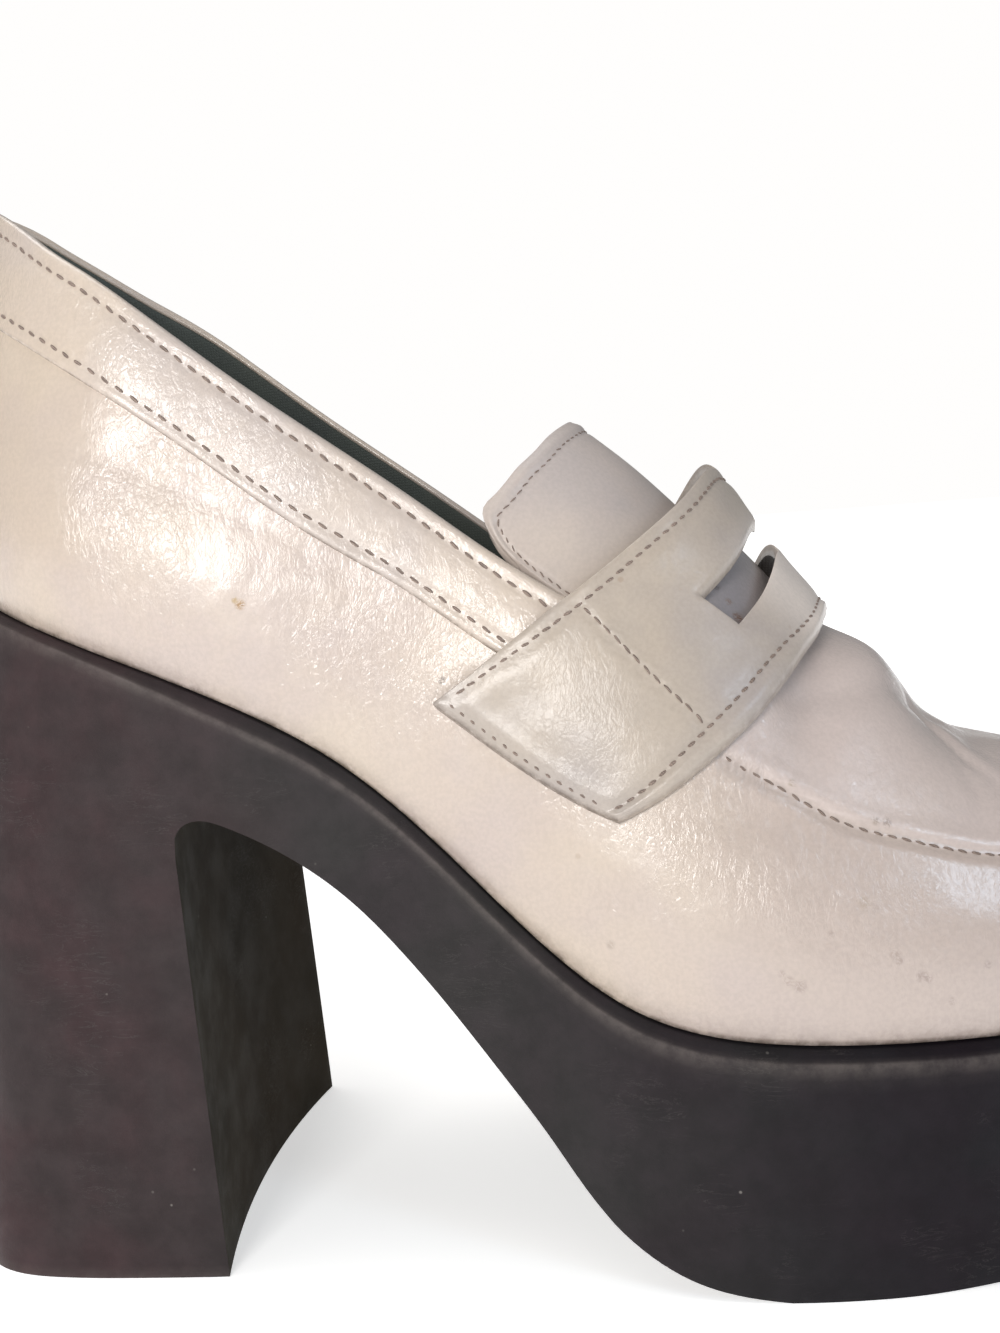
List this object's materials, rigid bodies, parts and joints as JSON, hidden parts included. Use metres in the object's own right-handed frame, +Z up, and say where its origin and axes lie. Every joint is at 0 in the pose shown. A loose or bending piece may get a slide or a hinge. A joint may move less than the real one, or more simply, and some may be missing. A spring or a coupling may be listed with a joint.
{
  "type": "platform block-heel penny loafer",
  "caption": "Right platform loafer: hollow glossy cream upper with slotted saddle strap and raised tongue on a dark moulded platform sole with a high block heel.",
  "frame": {"origin": "middle of the floor rectangle round the shoe, on the floor it stands on", "axes": "+X from the heel to the toe, +Y towards the medial side (the big toe side of a right shoe), +Z up"},
  "size_m": [0.242, 0.09, 0.1882],
  "materials": {
    "sole_rubber": "matte moulded, faint grain and scuffs",
    "upper_leather": "glossy coated, finely crinkled",
    "strap_leather": "glossy coated, finely crinkled",
    "lining": "dark matte woven",
    "thread": "waxed polyester thread"
  },
  "bodies": {
    "root": {"sole_unit": "sole_rubber", "upper": "upper_leather", "tongue": "upper_leather", "saddle_strap": "strap_leather", "insole": "lining"}
  },
  "joints": []
}
